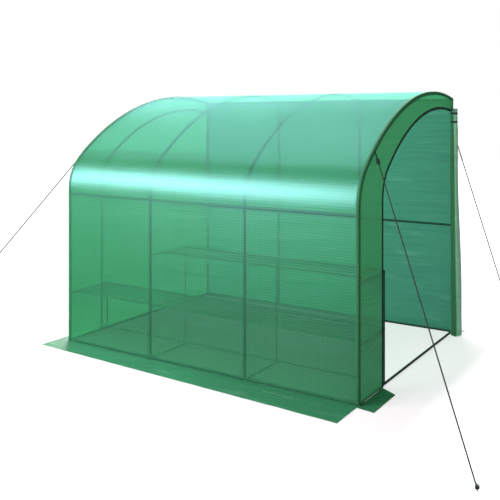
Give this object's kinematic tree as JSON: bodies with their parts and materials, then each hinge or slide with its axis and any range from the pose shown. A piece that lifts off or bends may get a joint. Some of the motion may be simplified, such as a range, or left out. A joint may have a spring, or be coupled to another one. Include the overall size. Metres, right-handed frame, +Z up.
{
  "type": "walk-in lean-to greenhouse",
  "caption": "Walk-in lean-to greenhouse: curved steel tube frame under a green woven cover, zip doors in the ends, wire plant shelving inside and guy ropes with pegs.",
  "frame": {"origin": "centre of the whole object's box on the ground", "axes": "+X along the greenhouse to its open end, +Y back to the house wall, +Z up"},
  "size_m": [4.976, 3.389, 2.2652],
  "materials": {
    "frame_tube": "dark green powder coat",
    "fitting_steel": "dark green powder coat",
    "shelf_tube": "dark green powder coat",
    "shelf_wire": "dark green plastic coated wire",
    "cover_cloth": "woven translucent green sheet",
    "zip_tape": "dark binding tape",
    "zip_slider": "dark lacquered slider",
    "webbing": "dark webbing",
    "rope": "thin braided cord",
    "peg_steel": "galvanised wire peg"
  },
  "bodies": {
    "root": {"back_ground_rail": "frame_tube", "back_mid_fittings": "fitting_steel", "back_mid_rail": "frame_tube", "back_post_left_end": "frame_tube", "back_post_right_end": "frame_tube", "back_post_second": "frame_tube", "back_post_third": "frame_tube", "back_top_rail": "frame_tube", "cover_back_wall": "cover_cloth", "cover_front_and_roof": "cover_cloth", "door_left": "cover_cloth", "door_right_rolled": "cover_cloth", "door_ties": "webbing", "door_zip_left": "zip_tape", "door_zip_right": "zip_tape", "eave_fittings": "fitting_steel", "eave_rail": "frame_tube", "end_panel_left": "cover_cloth", "end_panel_right": "cover_cloth", "end_threshold_rails": "frame_tube", "front_ground_rail": "frame_tube", "ground_fittings": "fitting_steel", "ground_flap_back": "cover_cloth", "ground_flap_front": "cover_cloth", "ground_flap_left_end": "cover_cloth", "ground_flap_right_end": "cover_cloth", "ground_pegs": "peg_steel", "guy_loops": "webbing", "guy_ropes": "rope", "hoop_left_end": "frame_tube", "hoop_right_end": "frame_tube", "hoop_second": "frame_tube", "hoop_third": "frame_tube", "lower_shelf_long_rods": "shelf_tube", "lower_shelf_side_rods": "shelf_tube", "lower_wire_shelf_left": "shelf_wire", "lower_wire_shelf_middle": "shelf_wire", "lower_wire_shelf_right": "shelf_wire", "ridge_fittings": "fitting_steel", "shelf_clips": "shelf_wire", "shelf_foot_rods": "shelf_tube", "shelf_legs": "shelf_tube", "upper_shelf_long_rods": "shelf_tube", "upper_shelf_side_rods": "shelf_tube", "upper_wire_shelf_middle": "shelf_wire", "upper_wire_shelf_right": "shelf_wire", "zip_sliders": "zip_slider"}
  },
  "joints": []
}
